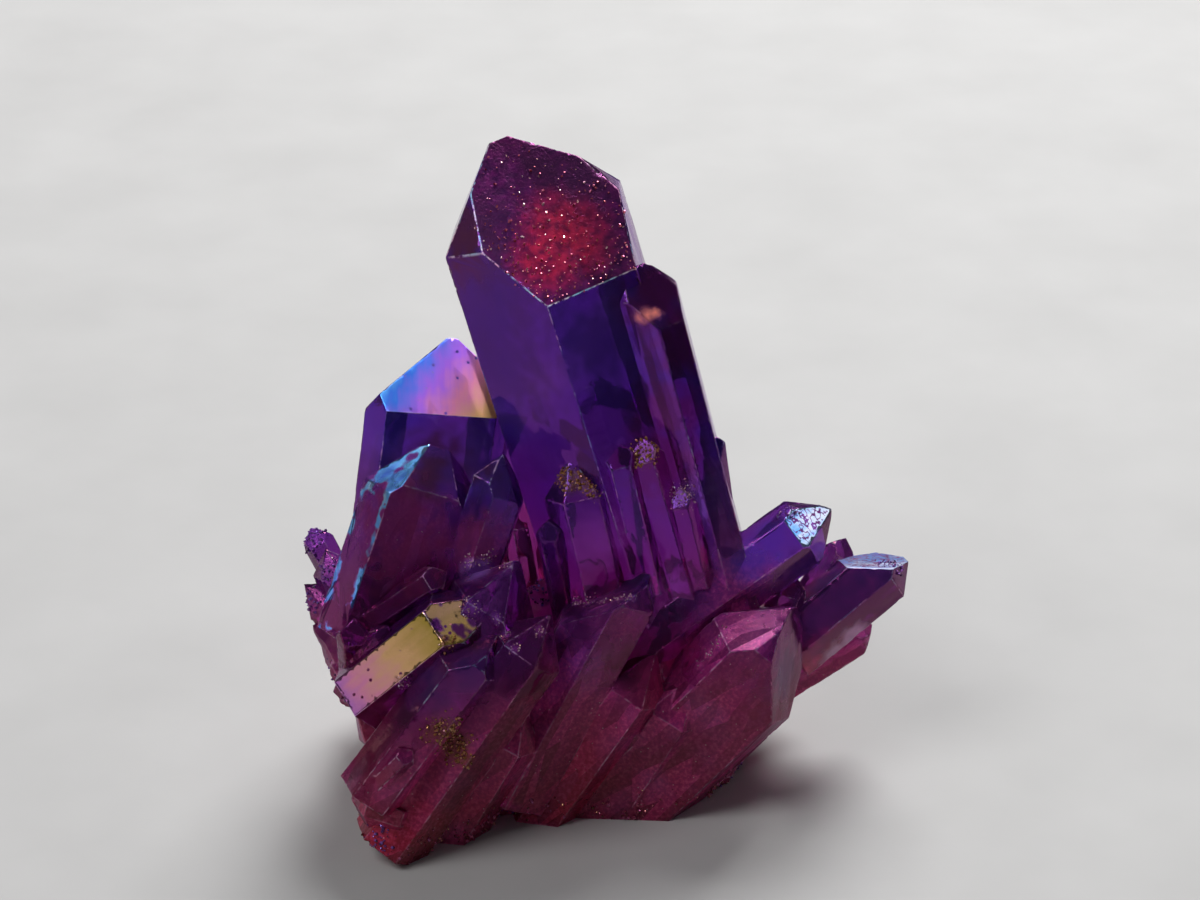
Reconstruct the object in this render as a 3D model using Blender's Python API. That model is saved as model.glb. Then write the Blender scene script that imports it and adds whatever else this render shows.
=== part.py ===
"""Aura quartz cluster: one solid of quartz crystals grown together, cut off flat underneath.

Lengths are in millimetres until the last step, which scales the mesh to metres. +Z is up, +X is to
the right and +Y is to the back. The origin is under the middle of the cluster, on its flat cut.
"""

import itertools
import math
import random
from dataclasses import dataclass

import bmesh
import bpy
from mathutils import Matrix, Vector

MILLIMETRE = 0.001
NAME = "quartz_cluster"

# The middle of the cluster's outline, seen from above. The origin is set under it.
MIDDLE = Vector((0.25, 1.2, 0.0))

# Quartz: six prism faces, and over each of them a cap face at a fixed angle to the long axis.
SIDES = 6
CAP_ANGLE = math.radians(51.8)
BLANK_OVERSIZE = 1.6
CAP_ALLOWANCE = 1.0

# How far below the nominal tip each cap face crosses the axis, in widths, for faces 0 to 5.
# A face that is dropped further grows larger.
SHARP = (0.06, 0.0, 0.06, 0.0, 0.06, 0.0)
USUAL = (0.36, 0.08, 0.30, 0.05, 0.33, 0.10)
BLUNT = (0.25, 0.25, 0.25, 0.25, 0.25, 0.25)
CHISEL = (0.55, 0.05, 0.10, 0.45, 0.10, 0.05)
PRISM = (0.10, 0.12, 0.10, 0.04, 0.10, 0.10)
PRISM_BLUNT = (0.20, 0.20, 0.10, 0.05, 0.10, 0.10)

# Each side's distance from the axis, as a share of half the width.
EVEN_SIDES = (1, 1, 1, 1, 1, 1)
TABLET = (0.66, 1, 1, 0.66, 1, 1)


@dataclass(frozen=True)
class Crystal:
    """One crystal. Its width is across its flats, and its turn is that of face 0 from the front."""

    name: str
    root: tuple
    tip: tuple
    width: float
    turn: float
    drops: tuple = USUAL
    sides: tuple = EVEN_SIDES


LEADERS = [
    Crystal("main", (5.6, 2.2, 7.0), (-7.9, 10.7, 51.5), 13.3, 31, (0.43, 0.05, 0.08, 0.05, 0.08, 0.08)),
    Crystal(
        "hidden_twin", (-15.7, 4.7, 6.2), (-11.9, 11.6, 34.1), 10.6, 12,
        (0.27, -0.3, 0.1, 0.2, 0.25, -0.3), (0.7, 1, 1, 1, 0.8, 1.1),
    ),
    Crystal(
        "shoulder", (-17.0, -3.3, 13.1), (-11.2, 2.4, 29.5), 8.6, 5,
        (0.22, 0.2, 0.1, 0.34, 0.1, 0.1), TABLET,
    ),
]

RIGHT_FLANK = [
    Crystal(
        "companion", (10.7, -1.0, 10.0), (2.1, 5.2, 42.4), 4.9, -28,
        (0.2, 0.54, 0.2, 0.1, 0.2, 0.1), (0.9, 1.1, 0.95, 1, 1, 1.05),
    ),
    Crystal("step", (7.4, -1.6, 17.3), (5.4, -0.4, 25.7), 2.0, -10),
    Crystal("blue_edge", (9.4, 0.4, 15.6), (7.5, 2.5, 28.9), 2.4, 5, CHISEL),
    Crystal("dark_band", (6.3, -1.6, 16.0), (2.4, 0.7, 29.7), 2.6, -5),
    Crystal("lilac_strip", (3.5, -1.8, 16.9), (0.6, -0.1, 29.7), 2.6, 5),
]

FRONT = [
    Crystal("elbow", (-11.7, -3.7, 13.7), (-6.7, 0.0, 28.5), 4.0, 18, (0.3, 0.4, 0.1, 0.05, 0.1, 0.1)),
    Crystal("stump", (0.0, -2.1, 16.3), (-2.8, 0.2, 28.7), 4.6, 8, BLUNT),
    Crystal("bump", (-2.6, -1.5, 13.0), (-4.3, -3.2, 24.4), 1.9, -5),
    Crystal(
        "wine_block", (-13.8, -8.2, 7.7), (-5.8, -4.2, 21.7), 6.4, -15,
        (0.1, 0.2, 0.08, 0.03, 0.08, 0.08),
    ),
    Crystal("violet_streak", (-19.4, -4.9, 14.5), (-11.0, -4.7, 20.8), 2.2, -30),
    Crystal("golden", (-18.1, -7.6, 10.9), (-7.6, -7.0, 20.2), 5.4, -40, (0.3, 0.1, 0.1, 0.04, 0.1, 0.2)),
    Crystal(
        "dark_point", (-17.4, -12.0, 5.3), (-7.4, -8.9, 18.7), 4.6, -8,
        (0.1, 0.2, 0.1, 0.05, 0.1, 0.4),
    ),
    Crystal("long_front", (-16.2, -11.4, 0.6), (-3.5, -7.6, 18.9), 5.2, -20, PRISM),
    Crystal("low_front", (-12.1, -8.4, -1.0), (-5.5, -8.4, 11.4), 4.6, -10, PRISM),
    Crystal("centre", (-7.2, -6.4, 1.9), (3.2, -4.4, 23.0), 5.8, 22, (0.15, 0.15, 0.1, 0.05, 0.85, 0.1)),
    Crystal("under_arm", (-5.7, -5.9, -2.2), (4.3, -5.6, 14.2), 4.8, -15, PRISM_BLUNT),
    Crystal("under_arm_low", (-0.3, -4.7, -2.1), (7.2, -5.7, 12.1), 4.6, -15, PRISM_BLUNT),
    Crystal("ridge", (-17.1, -13.0, 6.7), (-13.6, -13.4, 10.8), 1.6, -20),
    Crystal("foot", (-15.8, -10.8, 4.6), (-17.4, -12.0, -0.8), 5.0, 10, BLUNT),
]

RIGHT = [
    Crystal(
        "arm", (-0.5, -4.1, 10.5), (18.1, 3.4, 21.5), 4.8, -32,
        (0.29, 0.26, 0.08, 0.06, 0.06, 0.1), (1.05, 0.95, 1.03, 1, 1, 1),
    ),
    Crystal(
        "frosted", (-1.5, -4.5, -3.0), (16.2, -4.0, 17.3), 8.6, -5,
        (0.14, 0.4, 0.06, 0.03, 0.06, 0.12), (0.72, 1, 1, 1, 1, 1),
    ),
    Crystal("far_arm", (13.9, 0.3, 10.5), (24.4, 5.0, 17.8), 4.9, 25, (0.2, 0.2, 0.1, 0.05, 0.62, 0.1)),
    Crystal("pale_point", (11.3, 0.6, 5.1), (21.8, 5.6, 9.7), 2.8, 0, (0.2, 0.35, 0.18, 0.07, 0.18, 0.35)),
    Crystal("bud_low", (12.3, -1.4, 10.5), (14.7, 1.4, 17.5), 2.6, 0),
    Crystal("bud_high", (14.3, 1.8, 11.2), (19.2, 6.6, 17.5), 2.6, 10),
]

LEFT = [
    Crystal("nodule_1", (-18.6, 0.9, 12.9), (-22.8, 3.9, 19.8), 2.2, 10),
    Crystal("nodule_2", (-17.4, 0.5, 10.9), (-23.5, 1.3, 16.2), 3.4, 40, BLUNT),
    Crystal("nodule_3", (-18.7, 0.4, 11.7), (-21.3, 1.0, 19.7), 3.0, 0, BLUNT),
    Crystal("nodule_4", (-16.7, -0.6, 9.9), (-23.2, -0.3, 13.5), 4.4, 10, BLUNT),
    Crystal("nodule_5", (-16.6, -2.5, 7.8), (-21.7, -2.5, 11.6), 4.0, 20, BLUNT),
    Crystal("nodule_6", (-15.0, -5.4, 5.7), (-19.8, -4.7, 9.9), 4.2, 0, BLUNT),
    Crystal("nodule_7", (-18.5, -5.4, 11.8), (-18.6, -6.4, 17.9), 2.4, 0),
    Crystal("nodule_8", (-18.9, -6.5, 12.7), (-15.6, -7.2, 17.5), 1.6, 0),
    Crystal("nodule_9", (-19.6, -6.2, 10.6), (-18.1, -7.1, 14.8), 1.4, -40),
]

BEHIND = [
    Crystal("rear_tall", (0.0, 5.0, 8.0), (-3.0, 17.0, 29.0), 8.5, 170),
    Crystal("rear_right", (5.0, 4.0, 3.0), (12.5, 13.0, 13.0), 6.0, 150),
    Crystal("rear_left", (-9.0, 4.0, 5.0), (-15.0, 14.0, 19.5), 6.0, 200),
    Crystal("rear_low", (2.0, 6.0, 2.0), (3.0, 17.5, 13.0), 6.0, 180, CHISEL),
    Crystal("rear_side", (8.0, 3.0, 4.0), (17.0, 9.0, 9.0), 4.5, 150),
    Crystal("rear_foot", (-8.0, 6.0, 3.0), (-13.0, 15.0, 9.0), 5.0, 190),
    Crystal("rear_slim", (-4.0, 7.0, 8.0), (-8.0, 16.5, 24.0), 3.6, 200),
    Crystal("rear_point", (4.0, 5.0, 10.0), (3.0, 13.0, 31.0), 4.2, 160, SHARP),
]

# Small crystals set round the back of the lump's foot, leaning outward: how many, between which
# bearings (0 is +X, 90 is the back), how steeply they rise, and their widths and lengths.
SKIRT_COUNT = 22
SKIRT_BEARINGS = (28, 158)
SKIRT_RISES = (8, 62)
SKIRT_WIDTHS = (1.6, 3.4)
SKIRT_LENGTHS = (5.5, 9.5)
SKIRT_TURNS = (0, 60)
SKIRT_DEPTH = 0.72

# The massive quartz that the crystals grow from: a lump broken along many flat faces. Each break
# lies at a share of the way out to the unbroken lump's surface.
MASS_MIDDLE = Vector((-3.5, 1.5, 4.0))
MASS_RADII = Vector((17.4, 10.0, 10.4))
MASS_SUBDIVISIONS = 3
MASS_BREAKS = 40
MASS_BREAK_SHARES = (0.84, 0.97)
GOLDEN_SHARE = 0.618

WELD = 0.004
SKIRT_SEED = 7
MASS_SEED = 3


def frame_of(root, tip, turn):
    """The long axis, and the outward directions of the six prism faces, counted from the front."""
    axis = (tip - root).normalized()
    front = Vector((0, -1, 0))
    front = (front - axis * front.dot(axis)).normalized()
    side = axis.cross(front)
    angles = [math.radians(turn) + math.tau * face / SIDES for face in range(SIDES)]
    return axis, [front * math.cos(angle) + side * math.sin(angle) for angle in angles]


def skirt():
    """The small crystals round the back, evenly spread and then shaken."""
    chance = random.Random(SKIRT_SEED)
    rows = []
    for index in range(SKIRT_COUNT):
        share = (index + chance.uniform(-0.4, 0.4)) / (SKIRT_COUNT - 1)
        bearing = math.radians(SKIRT_BEARINGS[0] + share * (SKIRT_BEARINGS[1] - SKIRT_BEARINGS[0]))
        rise = math.radians(chance.uniform(*SKIRT_RISES))
        level = math.cos(rise)
        way = Vector((level * math.cos(bearing), level * math.sin(bearing), math.sin(rise)))
        root = MASS_MIDDLE + way * MASS_RADII * SKIRT_DEPTH
        tip = root + way * chance.uniform(*SKIRT_LENGTHS)
        width = chance.uniform(*SKIRT_WIDTHS)
        rows.append(Crystal(f"skirt_{index}", root, tip, width, chance.uniform(*SKIRT_TURNS)))
    return rows


def cut(solid, point, normal):
    """Takes off everything beyond a plane, and closes the solid over it."""
    everything = solid.verts[:] + solid.edges[:] + solid.faces[:]
    made = bmesh.ops.bisect_plane(
        solid, geom=everything, dist=1e-5, plane_co=point, plane_no=normal, clear_outer=True
    )
    rim = [item for item in made["geom_cut"] if isinstance(item, bmesh.types.BMEdge)]
    if rim:
        bmesh.ops.contextual_create(solid, geom=rim)


def grow_crystal(crystal):
    """A six-sided blank, cut along its prism faces and its cap faces."""
    root, tip, width = Vector(crystal.root), Vector(crystal.tip), crystal.width
    axis, outward = frame_of(root, tip, crystal.turn)
    top = tip + axis * width * CAP_ALLOWANCE
    radius = width / 2 * max(crystal.sides) * BLANK_OVERSIZE
    solid = bmesh.new()
    upright = axis.to_track_quat("Z", "Y").to_matrix().to_4x4()
    bmesh.ops.create_cone(
        solid,
        cap_ends=True,
        segments=SIDES,
        radius1=radius,
        radius2=radius,
        depth=(top - root).length,
        matrix=Matrix.Translation((root + top) / 2) @ upright,
    )
    for face, drop, share in zip(outward, crystal.drops, crystal.sides):
        cut(solid, tip + face * width / 2 * share, face)
        cap = face * math.sin(CAP_ANGLE) + axis * math.cos(CAP_ANGLE)
        cut(solid, tip - axis * width * drop, cap)
    return solid


def grow_mass():
    """A lump of massive quartz, broken along flat faces that are spread evenly and then shaken."""
    chance = random.Random(MASS_SEED)
    solid = bmesh.new()
    bmesh.ops.create_icosphere(solid, subdivisions=MASS_SUBDIVISIONS, radius=1)
    bmesh.ops.scale(solid, verts=solid.verts[:], vec=MASS_RADII)
    for index in range(MASS_BREAKS):
        height = 1 - 2 * (index + chance.random()) / MASS_BREAKS
        bearing = math.tau * (index * GOLDEN_SHARE + chance.random() / SIDES)
        level = math.sqrt(max(0.0, 1 - height * height))
        way = Vector((level * math.cos(bearing), level * math.sin(bearing), height))
        reach = (way * MASS_RADII).length * chance.uniform(*MASS_BREAK_SHARES)
        cut(solid, way * reach, way)
    bmesh.ops.translate(solid, verts=solid.verts[:], vec=MASS_MIDDLE)
    return solid


def object_from(solid, name, collection):
    mesh = bpy.data.meshes.new(name)
    bmesh.ops.recalc_face_normals(solid, faces=solid.faces[:])
    solid.to_mesh(mesh)
    solid.free()
    made = bpy.data.objects.new(name, mesh)
    collection.objects.link(made)
    return made


def new_collection(name):
    collection = bpy.data.collections.new(name)
    bpy.context.scene.collection.children.link(collection)
    return collection


def fuse(mass, growths):
    """Joins the lump and every crystal into one closed solid."""
    join = mass.modifiers.new("grown_together", "BOOLEAN")
    join.operation = "UNION"
    join.operand_type = "COLLECTION"
    join.collection = growths
    join.solver = "EXACT"
    join.use_self = True
    bpy.context.view_layer.update()
    graph = bpy.context.evaluated_depsgraph_get()
    joined = bpy.data.meshes.new_from_object(mass.evaluated_get(graph))
    mass.modifiers.remove(join)
    solid = bmesh.new()
    solid.from_mesh(joined)
    bpy.data.meshes.remove(joined)
    return solid


def tidy(solid):
    """Welds points that the joining left almost together."""
    bmesh.ops.remove_doubles(solid, verts=solid.verts[:], dist=WELD)
    bmesh.ops.dissolve_degenerate(solid, edges=solid.edges[:], dist=WELD)
    bmesh.ops.triangulate(solid, faces=solid.faces[:])


def quartz():
    material = bpy.data.materials.new("aura_quartz")
    material.use_nodes = True
    shader = material.node_tree.nodes["Principled BSDF"]
    shader.inputs["Base Color"].default_value = (0.22, 0.04, 0.26, 1)
    shader.inputs["Roughness"].default_value = 0.12
    shader.inputs["Metallic"].default_value = 0.0
    return material


def clear_scene():
    for item in list(bpy.data.objects):
        bpy.data.objects.remove(item, do_unlink=True)


def main():
    clear_scene()
    cluster = new_collection(NAME)
    growths = new_collection("growths")
    groups = (LEADERS, RIGHT_FLANK, FRONT, RIGHT, LEFT, BEHIND, skirt())
    for crystal in itertools.chain(*groups):
        growth = object_from(grow_crystal(crystal), crystal.name, growths)
        growth.hide_render = True
        growth.display_type = "WIRE"
    mass = object_from(grow_mass(), "mass", growths)
    growths.objects.unlink(mass)
    cluster.objects.link(mass)
    solid = fuse(mass, growths)
    for item in list(growths.objects) + [mass]:
        bpy.data.objects.remove(item, do_unlink=True)
    bpy.data.collections.remove(growths)
    cut(solid, Vector((0, 0, 0)), Vector((0, 0, -1)))
    tidy(solid)
    bmesh.ops.translate(solid, verts=solid.verts[:], vec=-MIDDLE)
    bmesh.ops.scale(solid, verts=solid.verts[:], vec=Vector((1, 1, 1)) * MILLIMETRE)
    made = object_from(solid, NAME, cluster)
    made.data.materials.append(quartz())


main()
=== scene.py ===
# %% [markdown]
# # An aura quartz cluster
# Quartz grows as six-sided prisms, each closed by a low six-sided point. Here many of them grew
# together from one lump. Afterwards the cluster was coated, hot and in a vacuum, with a film of metal
# a few hundred nanometres thick. The film is what turns clear quartz violet and wine red, and what
# gives single faces their blue, pink and gold.
#
# The solid shape comes from the frame, which is fixed. This script reads the crystals back out of it,
# makes their fine surface, grows the sugary patches of tiny crystals, and then coats all of it.

# %% Load the frame
import math
import random
from collections import Counter, defaultdict
from types import SimpleNamespace

import bmesh
import bpy
import numpy as np
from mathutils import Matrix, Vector, noise
from mathutils.geometry import delaunay_2d_cdt


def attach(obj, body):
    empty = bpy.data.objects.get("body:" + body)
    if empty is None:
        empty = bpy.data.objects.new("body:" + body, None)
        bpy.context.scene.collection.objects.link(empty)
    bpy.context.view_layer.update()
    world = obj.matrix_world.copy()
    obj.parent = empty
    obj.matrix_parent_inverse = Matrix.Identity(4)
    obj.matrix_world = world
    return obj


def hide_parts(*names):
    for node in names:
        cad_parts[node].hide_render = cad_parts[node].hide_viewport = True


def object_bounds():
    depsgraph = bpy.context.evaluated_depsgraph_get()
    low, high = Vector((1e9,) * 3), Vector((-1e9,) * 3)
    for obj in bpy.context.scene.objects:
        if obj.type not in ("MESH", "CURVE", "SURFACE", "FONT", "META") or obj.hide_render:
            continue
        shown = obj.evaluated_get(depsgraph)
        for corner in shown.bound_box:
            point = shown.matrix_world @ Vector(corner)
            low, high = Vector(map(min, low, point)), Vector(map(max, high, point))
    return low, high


MM = 0.001
NODE = "quartz_cluster"

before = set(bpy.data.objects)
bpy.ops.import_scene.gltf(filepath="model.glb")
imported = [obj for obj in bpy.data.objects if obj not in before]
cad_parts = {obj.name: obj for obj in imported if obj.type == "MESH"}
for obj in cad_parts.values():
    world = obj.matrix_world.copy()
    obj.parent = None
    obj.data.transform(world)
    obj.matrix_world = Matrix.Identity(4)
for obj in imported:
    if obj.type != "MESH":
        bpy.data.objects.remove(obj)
scene = bpy.context.scene
cad_low, cad_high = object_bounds()
print("the frame is", [round(size / MM, 1) for size in cad_high - cad_low], "mm")

# %% [markdown]
# ## The camera
# A wide lens close by could take in the whole cluster, but then near crystals would look much larger
# than far ones. So a macro lens looks down on it from 250 mm away, a little above its middle.

# %% Camera
CAMERA_DISTANCE = 250
CAMERA_HEIGHT_ANGLE = math.radians(30)
CAMERA_ORBITS = Vector((-0.25, -1.2, 22.0))
CAMERA_LOOKS_AT = Vector((-0.55, 1.43, 26.55))


def look(thing, place, target):
    """Puts a camera or a light at place, turned to target. Both are in millimetres."""
    thing.location = place * MM
    thing.rotation_euler = (target - place).to_track_quat("-Z", "Y").to_euler()
    scene.collection.objects.link(thing)
    return thing


camera_data = bpy.data.cameras.new("camera")
camera_data.lens = 100
camera_data.sensor_width = 36
to_camera = Vector((0, -math.cos(CAMERA_HEIGHT_ANGLE), math.sin(CAMERA_HEIGHT_ANGLE)))
camera_place = CAMERA_ORBITS + to_camera * CAMERA_DISTANCE
scene.camera = look(bpy.data.objects.new("camera", camera_data), camera_place, CAMERA_LOOKS_AT)
print("the camera is", round(camera_place.z), "mm above the floor")

# %% [markdown]
# ## Reading the faces back
# The frame is a net of loose triangles. Crystals are made of flat faces, so the triangles are gathered
# into faces again: starting from the largest, a face takes in every neighbour that lies in its plane.
# Blender could merge such triangles by itself, with a limited dissolve. But the later steps have to know
# which face each triangle came from, and a short search gives just that.

# %% Flat faces
WELD = 0.002  # mm; points nearer than this are one
IN_PLANE = 0.02  # mm; how far a face's points may lie off its plane
SAME_SIDE = 0.5  # the least cosine between the normals of one face's triangles


def welded(node):
    """A copy of a frame's mesh in millimetres, its loose triangles joined."""
    solid = bmesh.new()
    solid.from_mesh(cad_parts[node].data)
    bmesh.ops.scale(solid, verts=solid.verts[:], vec=Vector((1, 1, 1)) / MM)
    bmesh.ops.remove_doubles(solid, verts=solid.verts[:], dist=WELD)
    for kind in (solid.verts, solid.edges, solid.faces):
        kind.index_update()
    return solid


def gather_faces(solid):
    """A list of flat faces, each with its normal, a point in it and its triangles."""
    face_of, flats = {}, []
    for seed in sorted(solid.faces, key=lambda triangle: -triangle.calc_area()):
        if seed in face_of:
            continue
        normal, point = seed.normal.copy(), seed.verts[0].co.copy()
        flat = SimpleNamespace(index=len(flats), normal=normal, point=point, triangles=[])
        flats.append(flat)
        face_of[seed] = flat
        waiting = [seed]
        while waiting:
            triangle = waiting.pop()
            flat.triangles.append(triangle)
            for other in (face for edge in triangle.edges for face in edge.link_faces):
                if other in face_of or other.normal.dot(normal) < SAME_SIDE:
                    continue
                if all(abs((vertex.co - point).dot(normal)) < IN_PLANE for vertex in other.verts):
                    face_of[other] = flat
                    waiting.append(other)
        flat.area = sum(triangle.calc_area() for triangle in flat.triangles)
    return flats, face_of


solid = welded(NODE)
flats, face_of = gather_faces(solid)
print(len(solid.faces), "triangles make", len(flats), "flat faces")

# %% [markdown]
# ## Which crystal a face belongs to
# Where two faces of one crystal meet, the edge sticks out. Where two crystals have grown into each
# other, it is a cleft. So faces that meet along outward edges belong together. Each crystal could be
# listed by hand with its faces, but this test finds them all, and still holds if the frame changes.

# %% Groups of faces
SHARP_ANGLE = math.radians(6)
FACES_DOWN = -0.99  # a face whose normal has less than this upwards is the base


def bend_of(edge):
    """How far the surface turns at an edge: above 0 where it sticks out, below 0 in a cleft."""
    first = edge.link_loops[0]
    one, other = face_of[first.face], face_of[edge.link_loops[1].face]
    if one is other:
        return 0.0
    along = first.link_loop_next.vert.co - first.vert.co
    turn = one.normal.angle(other.normal, 0.0)
    return math.copysign(turn, one.normal.cross(other.normal).dot(along))


bend = {edge: bend_of(edge) for edge in solid.edges}
for flat in flats:
    flat.is_base = flat.normal.z < FACES_DOWN and flat.point.z < IN_PLANE
    flat.group = flat.index


def group_of(index):
    """The face that stands for a face's whole group."""
    while flats[index].group != index:
        index = flats[index].group
    return index


for edge, turn in bend.items():
    one, other = (face_of[loop.face] for loop in edge.link_loops[:2])
    if turn > SHARP_ANGLE and not (one.is_base or other.is_base):
        flats[group_of(one.index)].group = group_of(other.index)

groups = defaultdict(list)
for flat in flats:
    groups[group_of(flat.index)].append(flat)
print("the faces make", len(groups), "groups")

# %% [markdown]
# ## The long axis of each crystal
# The axis of a crystal lies in all its side faces, and the normals of its cap faces lean 51.8 degrees
# from it. Two sides are enough to find an axis, so each pair of a group's large faces is tried, and the
# axis that explains the most area is kept. What fits no axis is the broken lump underneath.

# %% Axes
CAP_LEAN = math.cos(math.radians(51.8))
LEANS = 0.0, CAP_LEAN, -1.0  # the cosines for a side, for a cap face, and for a flat lower end
LEAN_ERROR = 0.03
SURE = 0.85  # the share of a group's area that an axis has to explain
FACES_TRIED = 8
LEAST_CROSSING = 0.1  # the sine of the least angle between two faces that can give an axis


def best_axis(members):
    """The long axis that explains the most of these faces, and the share of their area that it does."""
    large = sorted(members, key=lambda flat: -flat.area)[:FACES_TRIED]
    total = sum(flat.area for flat in members)
    found = (0.0, None)
    for one in large:
        for other in large[large.index(one) + 1:]:
            axis = one.normal.cross(other.normal)
            if axis.length < LEAST_CROSSING:
                continue
            axis.normalize()
            for way in (axis, -axis):
                leans = [(flat.area, flat.normal.dot(way)) for flat in members]
                fits = sum(
                    area for area, lean in leans
                    if min(abs(lean - wanted) for wanted in LEANS) < LEAN_ERROR
                )
                found = max(found, (fits / total, way), key=lambda pair: pair[0])
    return found


sure_faces = []
for members in groups.values():
    share, axis = best_axis(members)
    sure = share > SURE and len(members) > 2
    for flat in members:
        flat.axis = axis if sure else None
        if sure:
            sure_faces.append(flat)
print(len(sure_faces), "faces have an axis of their own")

# %% Sides, caps and broken rock
SCRAP_AREA = 2.5  # square mm
SAME_WAY = 0.9998  # the least cosine between the normals of two faces in one plane


def borrow_axis(flat):
    """A face that is cut off from its crystal takes the axis of a face in the same plane."""
    for other in sure_faces:
        level = abs((flat.point - other.point).dot(other.normal)) < IN_PLANE * 2
        if level and flat.normal.dot(other.normal) > SAME_WAY:
            return other.axis
    return None


def kind_of(flat):
    """Side, cap or broken rock. A scrap of face, left where crystals cross, counts as a side."""
    if flat.axis is None:
        group_area = sum(member.area for member in groups[group_of(flat.index)])
        return "broken" if flat.is_base or group_area > SCRAP_AREA else "side"
    return "cap" if abs(flat.normal.dot(flat.axis) - CAP_LEAN) < LEAN_ERROR else "side"


for flat in flats:
    flat.axis = flat.axis or borrow_axis(flat)
    flat.kind = kind_of(flat)
areas = Counter()
for flat in flats:
    areas[flat.kind] += flat.area
print("square millimetres of each kind of face:", {kind: round(area) for kind, area in areas.items()})

# %% [markdown]
# ## A finer net on every face
# Light shows more than a flat face: edges that are worn a little round, growth steps, frosting. These
# need more points than the frame has. Subdivision would keep the frame's long thin triangles, so each face
# is netted again, in its own plane. For that it gets two directions, across its crystal and along it.

# %% Directions in each face
FINE = {"side": 0.36, "cap": 0.33, "broken": 0.36}  # mm between points
BASE_STEP = 1.2
NEARLY_UP = 0.9  # a normal with more than this upwards or down gets its directions from the X axis


def step_of(flat):
    return BASE_STEP if flat.is_base else flat.step


def to_plane(flat, points):
    """How far points in space lie across and along a face."""
    offsets = np.asarray(points, float).reshape(-1, 3) - flat.origin
    return offsets @ flat.plane.T


def from_plane(flat, spots):
    return flat.origin + np.asarray(spots, float).reshape(-1, 2) @ flat.plane


def set_directions(flat):
    """Two directions in the face: across the crystal, and along it or down its cap."""
    normal = Vector(flat.normal)
    guide = flat.axis or (Vector((0, 0, 1)) if abs(normal.z) < NEARLY_UP else Vector((1, 0, 0)))
    along = (guide - normal * guide.dot(normal)).normalized()
    flat.plane = np.array((along.cross(normal), along))
    flat.origin = np.array(flat.point)


for flat in flats:
    set_directions(flat)
    flat.step = FINE[flat.kind]
    flat.outline = []
print("the largest face has", round(flats[0].area), "square mm")

# %% [markdown]
# ## Edges in short steps
# Where two faces meet, both have to use the same points, or the new net would have gaps. So every edge of
# the frame is cut into short steps once, and a face's outline is made of the steps of its edges.

# %% Cut the edges
net = SimpleNamespace(points=[Vector(vertex.co) for vertex in solid.verts], faces=[], flat=[])
chains = {}


def chain_of(edge, first):
    """The points along an edge from its end first, without the other end. They are made at need."""
    if edge not in chains:
        start, end = (vertex.co for vertex in edge.verts)
        step = min(step_of(face_of[face]) for face in edge.link_faces)
        count = max(1, round((end - start).length / step))
        made = range(len(net.points), len(net.points) + count - 1)
        net.points += [start.lerp(end, index / count) for index in range(1, count)]
        chains[edge] = [edge.verts[0].index, *made, edge.verts[1].index]
    chain = chains[edge]
    return chain[:-1] if first.index == chain[0] else chain[:0:-1]


def steps_of(loop):
    """One side of a triangle in short steps: two points and the bend at the edge for each."""
    chain = chain_of(loop.edge, loop.vert) + [loop.link_loop_next.vert.index]
    return [(a, b, bend[loop.edge]) for a, b in zip(chain, chain[1:])]


for loop in (loop for triangle in solid.faces for loop in triangle.loops):
    flat = face_of[loop.face]
    if any(face_of[face] is not flat for face in loop.edge.link_faces):
        flat.outline += steps_of(loop)
print("the edges have", len(net.points), "points")

# %% [markdown]
# ## Points inside a face
# The points of a honeycomb, each shaken a little, give triangles of even size that show no rows. One more
# row runs close inside every outward edge, so that the edge can be worn round without bending the face.

# %% Points inside a face
RIM = 0.11  # mm from an outward edge to the row of points inside it
JITTER = 0.22
KEEP_OFF = 0.45  # inner points stay this share of a step away from the outline
KEEP_OFF_CORNERS = 0.9  # and points of the inner row this share of RIM, which thins them in corners
NOTHING_NEAR = 9.0


def distances(spots, starts, ends):
    """From each spot to the nearest of some straight edges, all in one plane."""
    if not len(starts):
        return np.full(len(spots), NOTHING_NEAR)
    run = ends - starts
    length = np.maximum((run ** 2).sum(1), 1e-12)
    offset = spots[:, None] - starts[None]
    share = np.clip((offset * run).sum(2) / length, 0, 1)
    return np.sqrt(((offset - share[..., None] * run) ** 2).sum(2)).min(1)


def inside(spots, starts, ends):
    """Whether each spot lies within an outline, by counting how often a line to the right crosses it."""
    (x, y), (x0, y0), (x1, y1) = spots.T[:, :, None], starts.T[:, None], ends.T[:, None]
    crosses = (y0 > y) != (y1 > y)
    where = x0 + (y - y0) * (x1 - x0) / np.where(y1 == y0, 1, y1 - y0)
    return (crosses & (x < where)).sum(1) % 2 == 1


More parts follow.
